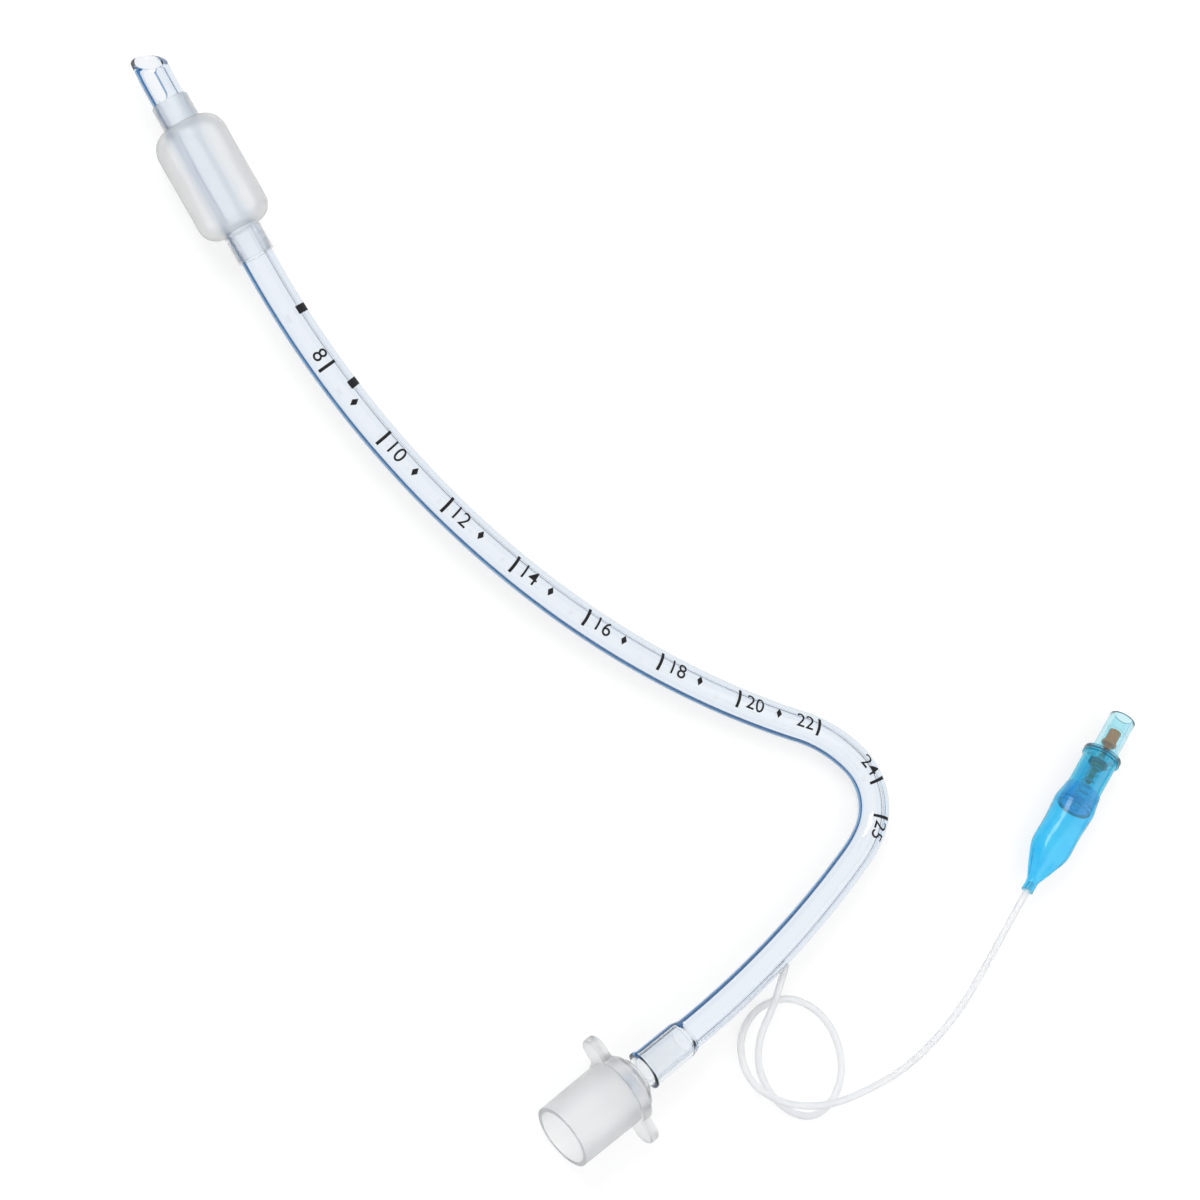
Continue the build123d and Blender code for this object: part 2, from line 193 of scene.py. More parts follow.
def make_piece(name, shells, body="root", sharp=50, keep=None):
    """One mesh object from its shells, in metres, with poles merged. Corners of more than that many
    degrees stay sharp, and the piece stands for the CAD nodes that are named last."""
    all_points, all_faces, *all_uvs = zip(*shells)
    sizes = np.cumsum([0] + [len(p) for p in all_points])
    points = np.concatenate(all_points)
    faces = np.concatenate([f + at for f, at in zip(all_faces, sizes)])
    mesh = bpy.data.meshes.new(name)
    mesh.from_pydata(points, [], faces)
    if all_uvs:
        layer = mesh.uv_layers.new(name="surface")
        layer.data.foreach_set("uv", np.concatenate(all_uvs[0]).astype(np.float32).ravel())
    solid = bmesh.new()
    solid.from_mesh(mesh)
    bmesh.ops.remove_doubles(solid, verts=solid.verts, dist=SAME_PLACE)
    bmesh.ops.dissolve_degenerate(solid, dist=SAME_PLACE / 10, edges=solid.edges)
    solid.to_mesh(mesh)
    solid.free()
    mesh.shade_smooth()
    mesh.set_sharp_from_angle(angle=radians(sharp))
    piece = bpy.data.objects.new(name, mesh)
    scene.collection.objects.link(piece)
    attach(piece, body)
    if keep:
        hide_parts(*keep)
    print(name, "faces", len(mesh.polygons), "size mm", np.round(np.ptp(points, axis=0) / MM, 1))
    return piece


# %% Rounded outlines and turned shapes
MOST_CUT = 0.3  # share of the shorter side that one rounded corner may use
FLAT_GUARD = 1.5  # distance of the points that keep a flat flat, in corner cuts


def soften(corners, cut, steps=5, closed=True):
    """Outline whose corners are parabolas: shares (1-t)^2, 2t(1-t) and t^2 of the point before the
    corner, the corner and the point after it. Two more points on the flats keep those flat."""
    p = np.asarray(corners, float)
    before = np.roll(p, 1, 0) - p
    after = np.roll(p, -1, 0) - p
    before_length = np.linalg.norm(before, axis=1)
    after_length = np.linalg.norm(after, axis=1)
    room = MOST_CUT * np.minimum(before_length, after_length)
    reach = np.minimum(np.broadcast_to(cut, len(p)), room)
    if not closed:
        reach[[0, -1]] = 0
    a = (before * (reach / before_length)[:, None])[:, None]
    b = (after * (reach / after_length)[:, None])[:, None]
    t = np.linspace(0, 1, steps)[None, :, None]
    curve = p[:, None] + (1 - t) ** 2 * a + t**2 * b
    flats = p[:, None] + FLAT_GUARD * a, p[:, None] + FLAT_GUARD * b
    return np.concatenate([flats[0], curve, flats[1]], 1).reshape(-1, 2)


def turned_shell(outline, place, columns=72, closed=True):
    """Outline of radius and height carried round an axis: (r cos u, r sin u, z), then put in place."""
    u = np.linspace(0, 2 * pi, columns, endpoint=False)
    r, z = outline[:, :1], outline[:, 1:]
    local = np.stack(np.broadcast_arrays(r * np.cos(u), r * np.sin(u), z), -1)
    return shell(place(local), closed)


# %% [markdown]
# ## Where the tube lies
# The tube is preformed in one plane, as straight runs and arcs. The plane itself leans a little,
# because the tube rests on the cuff, on the connector's flange and on the sharp bend, which have
# different radii. The same contact rule places every piece here.

# %% Route of the tube
TUBE_R = 3.7
BORE_R = 2.75
CUFF_R = 8.3
FLANGE_R = 8.45
LIE_LIFT = 0.06
FLARE_START = 37.9
FLANGE_STATION = 17.25
SHARP_RUN = 4
REST_SHARE = 0.2  # where along the sharp run the tube touches the table
route_start = np.array([-89.68, 117.49])
route_heading = radians(-65.5)
# Each run is its radius, 0 for a straight one, and its turn in degrees or its length
runs = [
    (9.0 / radians(7.7), 7.7),
    (0, 43.0),
    (210.0, 45.25),
    (33.7, -27.1),
    (13.8, -77.8),
    (29.0, -12.9),
    (238.0, -14.6),
    (0, FLARE_START),
]
run_length = np.array([r * abs(radians(t)) if r else t for r, t in runs])
run_turn = np.array([radians(t) if r else 0.0 for r, t in runs])
run_start = np.concatenate([[0], np.cumsum(run_length)[:-1]])
run_heading = route_heading + np.concatenate([[0], np.cumsum(run_turn)[:-1]])
run_bend = run_turn / run_length
TUBE_END = run_length.sum()
SWEPT_END = TUBE_END - FLARE_START


def step_along(heading, bend, length):
    """Way made along an arc: the change in the heading's sine and cosine, over the bend. A straight
    run has no bend, so there the way is the length times the cosine and the sine."""
    straight = np.abs(bend) < 1e-9
    safe = np.where(straight, 1.0, bend)
    end = heading + bend * length
    x = np.where(straight, length * np.cos(heading), (np.sin(end) - np.sin(heading)) / safe)
    y = np.where(straight, length * np.sin(heading), (np.cos(heading) - np.cos(end)) / safe)
    return np.stack([x, y], -1)


run_point = route_start + np.concatenate(
    [[[0, 0]], np.cumsum(step_along(run_heading, run_bend, run_length), 0)[:-1]]
)


def axis_at(station):
    """Point and heading of the tube's axis at a station in mm from the tip."""
    s = np.asarray(station, float)
    k = np.clip(np.searchsorted(run_start, s, "right") - 1, 0, len(runs) - 1)
    on = s - run_start[k]
    heading = run_heading[k] + run_bend[k] * on
    return run_point[k] + step_along(run_heading[k], run_bend[k], on), heading


def resting(station, radius):
    """Axis point at a station when a round of that radius touches the table there."""
    point, _ = axis_at(station)
    return np.array([*point, radius])


# %% Plane of the tube
CUFF_MIDDLE = 30.6
bend_station = run_start[SHARP_RUN] + REST_SHARE * run_length[SHARP_RUN]
on_cuff = resting(CUFF_MIDDLE, CUFF_R)
on_flange = resting(TUBE_END - FLANGE_STATION, FLANGE_R)
on_bend = resting(bend_station, TUBE_R)
lie_z = np.cross(on_flange - on_cuff, on_bend - on_cuff)
lie_z /= np.linalg.norm(lie_z)
lie_x = np.array([lie_z[2], 0, -lie_z[0]])
lie_x /= np.linalg.norm(lie_x)
lie_y = np.cross(lie_z, lie_x)
lie_base = np.array([0, 0, on_cuff @ lie_z / lie_z[2] + LIE_LIFT])


def lying(x, y, z):
    """Point of the tube's own plane, in mm, where it lies on the table, in metres."""
    x, y, z = (part[..., None] for part in np.broadcast_arrays(x, y, z))
    return (lie_base + x * lie_x + y * lie_y + z * lie_z) * MM


def beside_axis(station, left, up):
    """Point at a station, so far to the left of the axis and above its plane."""
    station, left, up = np.broadcast_arrays(station, left, up)
    point, heading = axis_at(station)
    return lying(point[..., 0] - left * np.sin(heading), point[..., 1] + left * np.cos(heading), up)


print("tube length along its axis, mm:", round(float(TUBE_END), 1))

# %% [markdown]
# ## Tube wall
# The real tube is extruded in soft, clear PVC: a 5.5 mm bore in a 7.4 mm tube, with a rib inside that
# holds a fine inflation channel. The tip is cut on a slant and rounded with heat, and the other end
# is stretched over the connector. One closed grid can be all of that: down the outer face, round the
# end, back through the bore and round the tip. Only the channel and the eye are made on their own.

# %% Section of the wall
BEVEL = radians(38)
TIP_ROUND = 0.42
TIP_BLEND = 10.0
RIB_AT = 2.75
RIB_R = 0.8
CHANNEL_R = 0.35
CHANNEL_START = 16.0
STEM_SEAT = 3.62
STRETCHED_R = 4.32
BEAD_R = 4.66
RIM_BACK = 24.0
SEAT_BACK = 35.7
BORE_BACK = 37.35
ROW_STEP = 2.4
ROW_TURN = radians(3.0)
FINE_STEP = 0.05
TUBE_COLUMNS = 96
RIB_CROWDING = 0.45  # columns stand closer where the rib is


def bore_radius(angle):
    """Bore seen from the axis: a circle, or the nearer crossing with the rib's circle,
    which is d cos(a) - sqrt(q^2 - d^2 sin(a)^2), whichever is less."""
    inside = RIB_R**2 - (RIB_AT * np.sin(angle)) ** 2
    hit = RIB_AT * np.cos(angle) - np.sqrt(np.clip(inside, 0, None))
    on_rib = (inside > 0) & (np.cos(angle) > 0)
    return np.where(on_rib, np.minimum(hit, BORE_R), BORE_R)


def tip_plane(height):
    """Station of the slanted cut at a height over the axis: a straight slope."""
    return (height + TUBE_R) * tan(BEVEL)


def row_stations(start, end):
    """Stations one row step apart where the tube is straight, and closer where it bends, so that no
    row turns by more than the row turn."""
    step = ROW_STEP / (1 + ROW_STEP * np.abs(run_bend) / ROW_TURN)
    fine = np.arange(start, end, FINE_STEP)
    k = np.clip(np.searchsorted(run_start, fine, "right") - 1, 0, len(runs) - 1)
    count = np.cumsum(FINE_STEP / step[k])
    wanted = np.linspace(count[0], count[-1], int(count[-1]) + 2)
    return np.interp(wanted, count, fine)


even = np.linspace(0, 2 * pi, TUBE_COLUMNS, endpoint=False)
around = even - RIB_CROWDING * np.sin(even)
bore = bore_radius(around)
swept = row_stations(0.0, SWEPT_END)[1:]
ease = np.clip(1 - swept / TIP_BLEND, 0, None)[:, None]


def slanted(radius):
    """Stations of the rows on one face, which follow the slanted tip and straighten behind it."""
    return swept[:, None] + (tip_plane(radius * np.sin(around)) + TIP_ROUND) * ease


# %% Tube in one closed grid
TIP_ROWS = 9
END_CUT = 0.6
RIM_LENGTH = 0.55
RIM_SLOPE = 0.25
RIM_INSET = 0.2
round_tip = np.linspace(pi, 0, TIP_ROWS)[:, None]
tip_radius = (TUBE_R + bore) / 2 + (TUBE_R - bore) / 2 * np.cos(round_tip)
tip_station = tip_plane(tip_radius * np.sin(around)) + TIP_ROUND * (1 - np.sin(round_tip))
end_outline = soften(
    [
        (TUBE_R, FLARE_START),
        (STRETCHED_R, SEAT_BACK),
        (STRETCHED_R, RIM_BACK + RIM_INSET + RIM_LENGTH + RIM_SLOPE),
        (BEAD_R, RIM_BACK + RIM_INSET + RIM_LENGTH),
        (BEAD_R, RIM_BACK + RIM_INSET),
        (STRETCHED_R, RIM_BACK),
        (STEM_SEAT, RIM_BACK),
        (STEM_SEAT, SEAT_BACK),
        (BORE_R, BORE_BACK),
    ],
    END_CUT,
    closed=False,
)
end_radius = np.repeat(end_outline[:, :1], TUBE_COLUMNS, 1)
end_station = TUBE_END - np.repeat(end_outline[:, 1:], TUBE_COLUMNS, 1)
seat_rows = np.arange(len(end_outline)) > np.argmin(end_outline[:, 1])
rib_share = np.clip((STEM_SEAT - end_outline[:, :1]) / (STEM_SEAT - BORE_R), 0, 1)
end_radius = np.where(seat_rows[:, None], end_radius - rib_share * (BORE_R - bore), end_radius)
outer_rows = slanted(TUBE_R)
inner_rows = slanted(bore)[::-1]
wall_radius = np.concatenate(
    [tip_radius, np.full_like(outer_rows, TUBE_R), end_radius, np.broadcast_to(bore, inner_rows.shape)]
)
wall_station = np.concatenate([tip_station, outer_rows, end_station, inner_rows])
wall = shell(beside_axis(wall_station, wall_radius * np.cos(around), wall_radius * np.sin(around)))


def capped(section_rows):
    """Rows of a rod with one more row at each end, gathered in its middle, which closes it."""
    first = np.broadcast_to(section_rows[:1].mean(1, keepdims=True), section_rows[:1].shape)
    last = np.broadcast_to(section_rows[-1:].mean(1, keepdims=True), section_rows[-1:].shape)
    return np.concatenate([first, section_rows, last])


# %% Channel in the rib
channel_station = row_stations(CHANNEL_START, SWEPT_END)[:, None]
channel_turn = np.linspace(0, 2 * pi, 12, endpoint=False)[None, :]
channel_left = RIB_AT + CHANNEL_R * np.cos(channel_turn)
channel_up = CHANNEL_R * np.sin(channel_turn)
channel_rows = capped(beside_axis(channel_station, channel_left, channel_up))
channel = shell(channel_rows, closed_rows=False, hollow=True)
clear_tube = make_piece("clear_tube", [wall, channel], keep=["airway_tube"])

# %% [markdown]
# ## Eye in the tip
# A real tube has an oval eye punched through the wall opposite the slant, so that air still passes if
# the tip rests on a wall. A hole changes how the grid is joined, so an exact boolean with a slot-shaped
# punch is simpler than a grid that bends round it. The faces that the punch leaves are noted, because
# a punched edge is matt where the extruded wall is smooth.

# %% Eye
EYE_STATION = 7.65
EYE_LENGTH = 7.5
EYE_WIDTH = 3.4
PUNCH_HEIGHTS = [-0.6, -2.0, -3.4, -5.0]


def slot_points(length, width, count=48):
    """Slot outline: two half circles, moved apart by the straight length between them. The small
    turn keeps every point off the place where the two halves meet."""
    u = np.linspace(0, 2 * pi, count, endpoint=False) + 1e-4
    return np.sign(np.cos(u)) * (length - width) / 2 + np.cos(u) * width / 2, np.sin(u) * width / 2


slot_along, slot_across = slot_points(EYE_LENGTH, EYE_WIDTH)
punch_height = np.array(PUNCH_HEIGHTS)[:, None]
punch_rows = capped(beside_axis(EYE_STATION + slot_along[None], slot_across[None], punch_height))
punch = make_piece("eye_punch", [shell(punch_rows, closed_rows=False)])
whole_points = {point.co.to_tuple(7) for point in clear_tube.data.vertices}
cut = clear_tube.modifiers.new("eye", "BOOLEAN")
cut.operation = "DIFFERENCE"
cut.solver = "EXACT"
cut.object = punch
bpy.context.view_layer.update()
evaluated = clear_tube.evaluated_get(bpy.context.evaluated_depsgraph_get())
pierced = bpy.data.meshes.new_from_object(evaluated)
clear_tube.modifiers.clear()
clear_tube.data = pierced
bpy.data.objects.remove(punch)
fresh_points = {point.index for point in pierced.vertices if point.co.to_tuple(7) not in whole_points}
punched_faces = [face.index for face in pierced.polygons if fresh_points.issuperset(face.vertices)]
pierced.set_sharp_from_angle(angle=radians(50))
print("tube faces with its eye:", len(pierced.polygons), "of which punched:", len(punched_faces))

# %% [markdown]
# ## X-ray line
# A strip of filled blue plastic runs inside the wall for the tube's whole length and shows up on an
# X-ray. It is a thin slab that follows the outer face a hair below the surface, so it looks wider or
# narrower as the clear wall bends the light, as on the real tube.

# %% X-ray line
STRIPE_WIDTH = 0.95
STRIPE_SINK = 0.07
STRIPE_START = 3.75
STRIPE_THICK = 0.52
STRETCHED_THICK = 0.4
STRIPE_CUT = 0.12
STRIPE_MARGIN = 0.3


def outer_radius(station):
    """Outer radius at a station: constant, then up the flare to the stretched end."""
    back_from_mouth = TUBE_END - np.asarray(station)
    return np.interp(back_from_mouth, [SEAT_BACK, FLARE_START], [STRETCHED_R, TUBE_R])


stripe_outline = soften([(-0.5, 0), (0.5, 0), (0.5, 1), (-0.5, 1)], STRIPE_CUT, 4)
on_stretched = np.linspace(SWEPT_END + STRIPE_MARGIN, TUBE_END - RIM_BACK - STRIPE_MARGIN, 16)
stripe_station = np.concatenate([row_stations(STRIPE_START, SWEPT_END), on_stretched])[:, None]
stripe_face = outer_radius(stripe_station) - STRIPE_SINK
stripe_depth = np.where(stripe_face > TUBE_R, STRETCHED_THICK, STRIPE_THICK)
stripe_radius = stripe_face - stripe_outline[None, :, 1] * stripe_depth
stripe_angle = pi + stripe_outline[None, :, 0] * STRIPE_WIDTH / stripe_radius
stripe_left = stripe_radius * np.cos(stripe_angle)
stripe_up = stripe_radius * np.sin(stripe_angle)
stripe = shell(capped(beside_axis(stripe_station, stripe_left, stripe_up)), closed_rows=False)
blue_line = make_piece("blue_xray_line", [stripe], keep=["xray_stripe"])

# %% [markdown]
# ## Cuff
# The cuff is a blown film balloon with a matt, frosted face. It is bonded to the tube by a short collar
# at each end. Its outline is two quarter ellipses with a straight run between them. Real film is never
# quite round, so a few long waves of a tenth of a millimetre run round it.

# %% Cuff
CUFF_START = 12.1
CUFF_FRONT = 17.8
CUFF_BACK = 43.4
CUFF_END = 50.0
COLLAR_R = 4.17
CUFF_SEAT = 3.72
FRONT_SHOULDER = 4.7
BACK_SHOULDER = 4.0
FILM = 0.16
COLLAR_CHAMFER = 0.25
LONG_WAVE = 0.09  # three of them round the cuff
SHORT_WAVE = 0.05  # seven of them, which also turn along the cuff
WAVE_INSET = 0.12  # keeps the waves inside the cuff's nominal radius


def balloon_side(inset, foot):
    """Station and radius from the front collar to the back one; inset moves the film inwards."""
    t = np.linspace(0, pi / 2, 14)
    rise = CUFF_R - inset - foot
    front = CUFF_FRONT + inset + FRONT_SHOULDER * (1 - np.cos(t)), foot + rise * np.sin(t)
    back = CUFF_BACK - inset - BACK_SHOULDER * (1 - np.sin(t)), foot + rise * np.cos(t)
    middle = np.linspace(CUFF_FRONT + FRONT_SHOULDER, CUFF_BACK - BACK_SHOULDER, 8)[1:-1]
    flat = middle, np.full_like(middle, CUFF_R - inset)
    return np.concatenate([np.stack(part, -1) for part in (front, flat, back)])


collar_front = [
    (CUFF_START, CUFF_SEAT),
    (CUFF_START, COLLAR_R - COLLAR_CHAMFER),
    (CUFF_START + COLLAR_CHAMFER, COLLAR_R),
]
collar_back = [
    (CUFF_END - COLLAR_CHAMFER, COLLAR_R),
    (CUFF_END, COLLAR_R - COLLAR_CHAMFER),
    (CUFF_END, CUFF_SEAT),
]
cuff_outline = np.concatenate(
    [collar_front, balloon_side(0, COLLAR_R), collar_back, balloon_side(FILM, CUFF_SEAT)[::-1]]
)
cuff_turn = np.linspace(0, 2 * pi, 96, endpoint=False)[None, :]
cuff_station = cuff_outline[:, :1]
swell = np.clip((cuff_outline[:, 1:] - COLLAR_R) / (CUFF_R - COLLAR_R), 0, 1)
long_wave = LONG_WAVE * np.cos(3 * cuff_turn + 0.8)
short_wave = SHORT_WAVE * np.cos(7 * cuff_turn + cuff_station / 4)
cuff_radius = cuff_outline[:, 1:] + swell * (long_wave + short_wave - WAVE_INSET)
cuff = shell(beside_axis(cuff_station, cuff_radius * np.cos(cuff_turn), cuff_radius * np.sin(cuff_turn)))
frosted_cuff = make_piece("frosted_cuff", [cuff], sharp=70, keep=["cuff"])

# %% [markdown]
# ## Pilot balloon
# The pilot balloon is a small film bag that tells by touch whether the cuff is full. It widens from a
# neck as a flat cone, has a slight waist, and closes round the valve. Its width and its height are two
# outlines over the same stations, and each section is the ellipse between them, with soft folds that
# start at the neck and fade. An outline is pairs of a station and a half width or half height.

# %% Pilot balloon
NECK_LENGTH = 2.8
PILOT_END = 29.4
PILOT_FILM = 0.2
NECK_BORE = 0.83
FOLDS = 5
FOLD_DEPTH = 0.3
FOLD_PEAK = 4.0  # past the neck, where the folds are deepest
pilot_side = np.array([-sin(pilot_heading), cos(pilot_heading), 0.0])


def on_pilot(local):
    """Point with x to the side, y up and z along the balloon, in mm, as a place in metres."""
    across, up, along = local[..., :1], local[..., 1:2], local[..., 2:]
    return (pilot_start + across * pilot_side + up * [0, 0, 1] + along * pilot_axis) * MM


NECK = [(0, 1.45), (NECK_LENGTH, 1.45)]
MOUTH = (PILOT_END, 4.58)
WIDTHS = [(11.6, 5.25), (18.5, 5.0), (25.0, 5.45), (28.3, 4.75)]
HEIGHTS = [(11.6, 3.6), (18.5, 4.3), (25.0, 4.74), (28.3, 4.62)]
BALLOON_CUTS = [0, 0.8, 2.2, 3.0, 2.2, 1.0, 0]
width_outline = soften([*NECK, *WIDTHS, MOUTH], BALLOON_CUTS, 9, closed=False)
height_outline = soften([*NECK, *HEIGHTS, MOUTH], BALLOON_CUTS, 9, closed=False)
first_rows = [0, 0.06, 0.2]  # closer rows, where the film turns in
last_rows = [PILOT_END - 0.06, PILOT_END]
pilot_station = np.concatenate([first_rows, np.linspace(0.5, PILOT_END - 0.2, 76), last_rows])
pilot_turn = np.linspace(0, 2 * pi, 72, endpoint=False)[None, :]


def pilot_skin(inset, least):
    """Ellipse at each station, with folds: cosines round it, whose depth is p e^(1 - p), where p is
    the way past the neck over the fold peak, so it grows from nothing to its most and then fades."""
    half_width = np.interp(pilot_station, width_outline[:, 0], width_outline[:, 1])[:, None] - inset
    half_height = np.interp(pilot_station, height_outline[:, 0], height_outline[:, 1])[:, None] - inset
    past_neck = np.clip(pilot_station - NECK_LENGTH, 0, None)[:, None]
    share = past_neck / FOLD_PEAK
    fold = FOLD_DEPTH * share * np.exp(1 - share) * np.cos(FOLDS * pilot_turn + 0.9)
    x = np.maximum(half_width + fold, least) * np.cos(pilot_turn)
    y = np.maximum(half_height + fold, least) * np.sin(pilot_turn)
    return np.stack(np.broadcast_arrays(x, y, pilot_station[:, None]), -1)


skin = np.concatenate([pilot_skin(0, NECK_BORE), pilot_skin(PILOT_FILM, NECK_BORE)[::-1]])
blue_balloon = make_piece(
    "blue_pilot_balloon", [shell(on_pilot(skin))], keep=["pilot_balloon"]
)

# %% [markdown]
# ## Valve
# The valve is four small mouldings and a spring. All of them are turned shapes, so each is an outline
# carried round the valve's axis. The corners are rounded by a tenth or two of a millimetre, because
# sharp corners on clear plastic look drawn, not moulded. An outline is pairs of a radius and a height
# over the pilot balloon's neck.

# %% Sizes of the valve
HOUSING_R = 4.3
HOUSING_BORE = 3.55
HOUSING_BASE = 24.2
AIR_HOLE_R = 0.7
RIM_R = 4.85
RIM_HEIGHT = 0.8
FLOOR_TOP = 25.7
RIM_TOP = 39.7
RIM_GAP = 0.01
PORT_HOLE_R = 1.1
PORT_PLUG_R = 3.53
PORT_BASE = 38.1
PORT_FLOOR = 41.0
FLANGE_TOP = 40.5
SOCKET_R = 3.3
SOCKET_TOP = 51.4
SOCKET_MOUTH_R = 2.15
SOCKET_BACK_R = 2.03
SOCKET_BACK = 47.3
CHAMBER_R = 2.25
MOULDED_CUT = 0.22
FOOT_BASE = 36.36
FOOT_TOP = 36.96
FOOT_R = 1.7
PIN_BASE = 31.76
PIN_R = 0.75
STEM_R = 0.8
RING_BASE = 43.1
RING_TOP = 43.8
RING_R = 1.9
HEAD_TOP = 47.2
HEAD_R = 1.5
PLUNGER_CUT = 0.15
AXIS_R = 0.02  # the solid plunger's faces close to this radius on its axis
SEAL_R = 2.4
SEAL_BORE = 0.82
SEAL_CUT = 0.2
CLOSE = 0.02  # gap between pieces that touch


# %% Valve mouldings
def turned_piece(name, outline, cut, body, node, columns=72):
    """Closed outline, softened at its corners, carried round the valve's axis."""
    made = turned_shell(soften(outline, cut), on_pilot, columns)
    return make_piece(name, [made], body, keep=[node])


valve_body = turned_piece(
    "blue_valve_body",
    [
        (AIR_HOLE_R, HOUSING_BASE),
        (HOUSING_R, HOUSING_BASE),
        (HOUSING_R, RIM_TOP - RIM_HEIGHT),
        (RIM_R, RIM_TOP - RIM_HEIGHT),
        (RIM_R, RIM_TOP - RIM_GAP),
        (HOUSING_BORE, RIM_TOP - RIM_GAP),
        (HOUSING_BORE, FLOOR_TOP),
        (AIR_HOLE_R, FLOOR_TOP),
    ],
    MOULDED_CUT,
    "root",
    "valve_housing",
)
valve_top = turned_piece(
    "clear_valve_top",
    [
        (PORT_HOLE_R, PORT_BASE),
        (PORT_PLUG_R, PORT_BASE),
        (PORT_PLUG_R, RIM_TOP + RIM_GAP),
        (RIM_R, RIM_TOP + RIM_GAP),
        (RIM_R, FLANGE_TOP),
        (SOCKET_R, FLANGE_TOP),
        (SOCKET_R, SOCKET_TOP),
        (SOCKET_MOUTH_R, SOCKET_TOP),
        (SOCKET_BACK_R, SOCKET_BACK),
        (CHAMBER_R, SOCKET_BACK),
        (CHAMBER_R, PORT_FLOOR),
        (PORT_HOLE_R, PORT_FLOOR),
    ],
    MOULDED_CUT,
    "root",
    "valve_port",
)
plunger_outline = [
    (AXIS_R, PIN_BASE),
    (PIN_R, PIN_BASE),
    (PIN_R, FOOT_BASE),
    (FOOT_R, FOOT_BASE),
    (FOOT_R, FOOT_TOP),
    (STEM_R, FOOT_TOP),
    (STEM_R, RING_BASE),
    (RING_R, RING_BASE),
    (RING_R, RING_TOP),
    (HEAD_R, RING_TOP),
    (HEAD_R, HEAD_TOP),
    (AXIS_R, HEAD_TOP),
]
plunger_cuts = [0] + [PLUNGER_CUT] * (len(plunger_outline) - 2) + [0]
orange_plunger = make_piece(
    "orange_plunger",
    [turned_shell(soften(plunger_outline, plunger_cuts, closed=False), on_pilot, 48, False)],
    "plunger",
    keep=["valve_plunger"],
)
rubber_seal = turned_piece(
    "rubber_seal",
    [
        (SEAL_BORE, FOOT_TOP + CLOSE),
        (SEAL_R, FOOT_TOP + CLOSE),
        (SEAL_R, PORT_BASE - CLOSE),
        (SEAL_BORE, PORT_BASE - CLOSE),
    ],
    SEAL_CUT,
    "plunger",
    "valve_seal",
    48,
)

# %% [markdown]
# ## Valve spring
# A fine steel spring keeps the valve shut. It is a round wire along a helix whose end turns lie nearly
# flat, so its height is three straight slopes over the turn, slow, fast and slow.

# %% Spring
WIRE_R = 0.2
SPRING_R = 1.35
SPRING_TURNS = 7
FLAT_TURN = 0.75  # share of a turn that lies nearly flat at each end
FLAT_RISE = 0.21
spring_low = FLOOR_TOP + WIRE_R + CLOSE
spring_high = FOOT_BASE - WIRE_R - CLOSE
turn = np.linspace(0, SPRING_TURNS, SPRING_TURNS * 28)
level = np.clip((turn - FLAT_TURN) / (SPRING_TURNS - 2 * FLAT_TURN), 0, 1)
flat_ends = (np.clip(turn, 0, FLAT_TURN) + np.clip(turn - SPRING_TURNS + FLAT_TURN, 0, None)) / FLAT_TURN
wire_height = spring_low + FLAT_RISE * flat_ends + (spring_high - spring_low - 2 * FLAT_RISE) * level
wire_angle = 2 * pi * turn
radial = np.stack([np.cos(wire_angle), np.sin(wire_angle), np.zeros_like(turn)], -1)
centre = SPRING_R * radial + wire_height[:, None] * np.array([0, 0, 1.0])
tangent = np.gradient(centre, axis=0)
tangent /= np.linalg.norm(tangent, axis=1, keepdims=True)
beside = np.cross(tangent, radial)
wire_turn = np.linspace(0, 2 * pi, 10, endpoint=False)[None, :, None]
wire = centre[:, None] + WIRE_R * (np.cos(wire_turn) * radial[:, None] + np.sin(wire_turn) * beside[:, None])
steel_spring = make_piece(
    "steel_spring", [shell(on_pilot(capped(wire)), closed_rows=False)], keep=["valve_spring"]
)
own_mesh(steel_spring)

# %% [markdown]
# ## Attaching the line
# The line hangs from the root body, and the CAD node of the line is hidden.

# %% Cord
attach(inflation_line, "root")
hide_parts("inflation_line")

# %% [markdown]
# ## Depth marks
# The real tube is printed with bars, diamonds and centimetre numbers, so that its depth can be read.
# The marks are drawn flat, in mm along and across the tube, cut fine enough to bend, and then rolled
# on the outer face. The print turns a little round the tube on the way, because the tube is printed
# before it is bent.

# %% Marks drawn flat
BAR_WIDTH = 0.72
BAR_HALF = 2.2
KITE_HALF_WIDTH = 0.72
KITE_HALF = 1.15
BAND_HALF_WIDTH = 0.95
BAND_HALF = 1.9
BAND_ANGLE = radians(60)
NUMBER_HEIGHT = 4.7
NUMBER_WEIGHT = 0.012  # grows each stroke outwards, in shares of the height
NUMBER_SPACING = 1.02
LONGEST_EDGE = 0.45  # longer edges are cut, so that a mark can bend round the tube
CUT_ROUNDS = 5
PRINT_STATIONS = [78, 97, 221, 249]
PRINT_ANGLES = [112, 110, 82, 85]  # degrees round the tube at those stations
bar_stations = [77.8, 97.3, 117.3, 137.2, 157.6, 177.9, 199.1, 220.7, 240.2, 248.7]
diamond_stations = [87.4, 107.2, 127.2, 147.3, 167.7, 188.4, 209.8]
number_stations = {
    "8": 75.0,
    "10": 101.2,
    "12": 121.2,
    "14": 141.2,
    "16": 161.8,
    "18": 182.3,
    "20": 203.4,
    "22": 217.0,
    "24": 236.4,
    "25": 252.0,
}
band_stations = [64.5, 84.0]
INK_LIFT = 0.012
INK_THICKNESS = 0.03


def flat_shape(corners):
    """Flat face through its corners, in mm."""
    mesh = bpy.data.meshes.new("mark")
    mesh.from_pydata([(x, y, 0) for x, y in corners], [], [list(range(len(corners)))])
    return mesh


